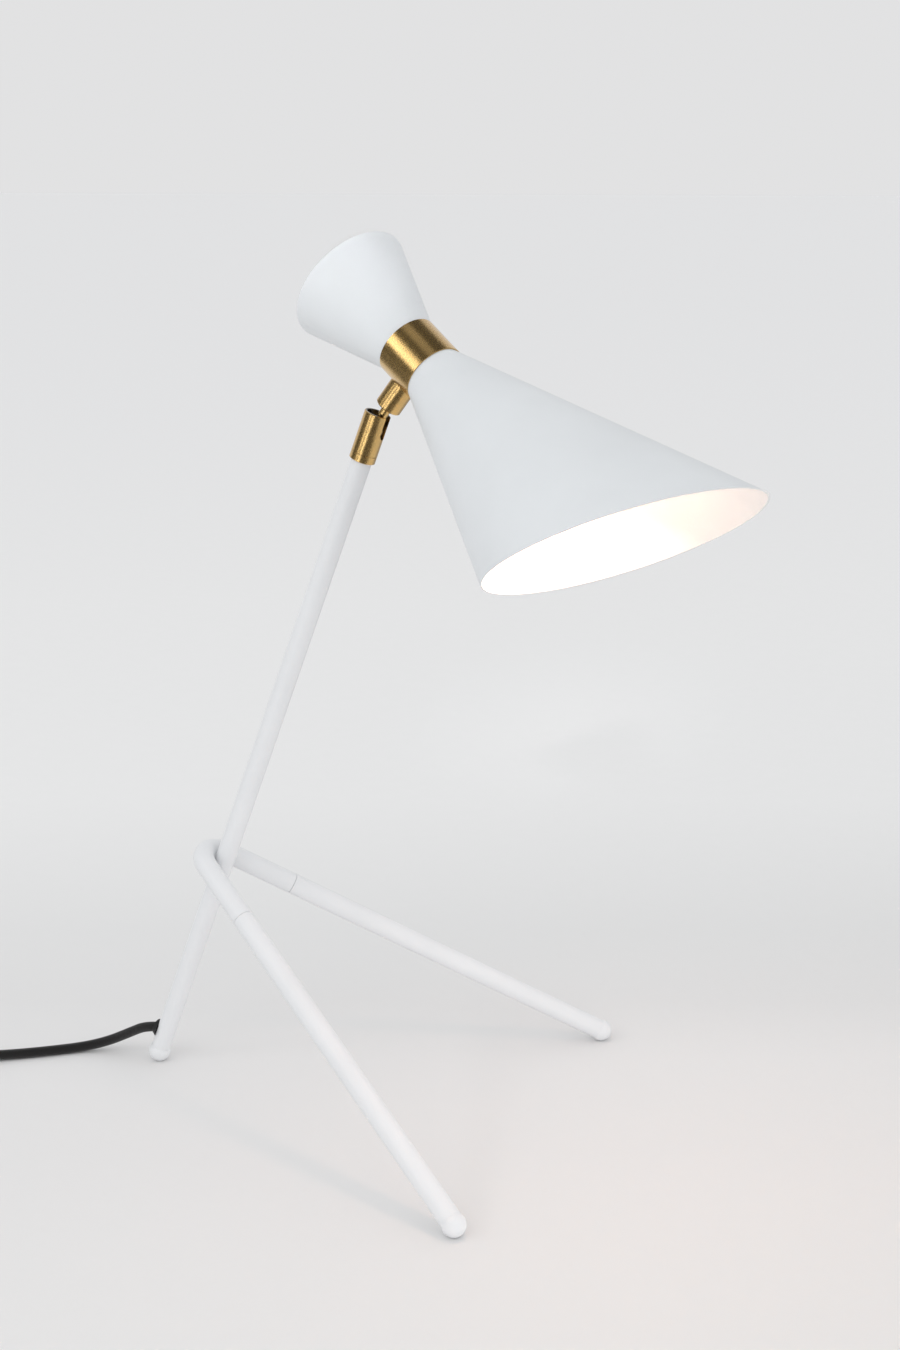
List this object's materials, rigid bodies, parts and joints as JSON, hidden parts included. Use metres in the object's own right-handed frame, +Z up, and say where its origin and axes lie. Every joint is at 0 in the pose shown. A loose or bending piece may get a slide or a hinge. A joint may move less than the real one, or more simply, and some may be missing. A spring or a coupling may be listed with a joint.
{
  "type": "desk lamp",
  "caption": "White tripod desk lamp with a double-cone shade on a slotted brass ball swivel, a leaning stem, ball feet and a black fabric cord with an in-line switch.",
  "frame": {"origin": "middle of the lamp's box, without its cord, at floor height", "axes": "+X the way the shade and the two front legs point, +Y to the lamp's left, +Z up"},
  "size_m": [0.6779, 0.2776, 0.5173],
  "materials": {
    "frame_white": "matt white powder coat on steel",
    "shade_white": "matt white powder coat on spun aluminium",
    "satin_brass": "satin turned brass",
    "plated_brass": "nickel-plated brass",
    "zinc_steel": "bright zinc plate",
    "black_fabric": "woven black cord braid",
    "black_plastic": "fine-grained black moulding",
    "rocker_plastic": "smooth black moulding",
    "tie_band": "black hook-and-loop band",
    "seat_plastic": "natural nylon",
    "holder_plastic": "white thermoset moulding",
    "holder_ceramic": "white unglazed ceramic",
    "lead_sheath": "grey flexible sheath",
    "opal_glass": "opal bulb glass"
  },
  "bodies": {
    "base": {"stem_tube": "frame_white", "stem_ferrule": "zinc_steel", "hairpin": "frame_white", "weld_lug": "frame_white", "arm_inserts": "zinc_steel", "leg_studs": "zinc_steel", "near_leg_tube": "frame_white", "far_leg_tube": "frame_white", "rear_foot": "frame_white", "near_foot": "frame_white", "far_foot": "frame_white", "cord_bushing": "black_plastic", "stem_lead": "lead_sheath", "socket_ring": "satin_brass", "retaining_clip": "zinc_steel", "cord_lamp": "black_fabric", "cord_switch": "black_fabric", "cord_coil": "black_fabric", "coil_tie": "tie_band", "cord_tail": "black_fabric", "plug_sleeve": "black_plastic", "plug_body": "black_plastic", "plug_pins": "plated_brass", "switch_base": "black_plastic", "switch_cover": "black_plastic"},
    "socket": {"socket_housing": "satin_brass", "ball_seat": "seat_plastic", "disc_spring": "zinc_steel"},
    "neck": {"swivel_ball": "satin_brass", "neck_stud": "satin_brass", "neck_lead": "lead_sheath"},
    "head": {"boss": "satin_brass", "spring_washer": "zinc_steel", "boss_nipple": "zinc_steel", "boss_nut": "zinc_steel", "waist_collar": "satin_brass", "rear_cone": "shade_white", "rear_cap": "shade_white", "front_cone": "shade_white", "holder_bracket": "zinc_steel", "holder_shell": "holder_plastic", "holder_nipple": "zinc_steel", "holder_nut": "zinc_steel", "holder_core": "holder_ceramic", "holder_screw": "plated_brass", "bulb_cap": "plated_brass", "bulb_glass": "opal_glass", "head_lead": "lead_sheath"},
    "rocker": {"switch_rocker": "rocker_plastic"}
  },
  "joints": [
    {"name": "socket_swivel", "type": "hinge", "parent": "base", "child": "socket", "pos_m": [-0.04437, 0, 0.392], "axis": [0.3535, 0, 0.9354], "range_deg": [-165, 165]},
    {"name": "neck_tilt", "type": "hinge", "parent": "socket", "child": "neck", "pos_m": [-0.03783, 0, 0.40931], "axis": [0, 1, 0], "range_deg": [-28, 60]},
    {"name": "shade_spin", "type": "hinge", "parent": "neck", "child": "head", "pos_m": [-0.02824, 0, 0.42212], "axis": [0.599, 0, 0.8007], "range_deg": [-165, 165]},
    {"name": "rocker_press", "type": "hinge", "parent": "base", "child": "rocker", "pos_m": [-0.344, -0.0775, 0.0138], "axis": [0.5508, -0.8346, 0], "range_deg": [-10, 0]}
  ]
}
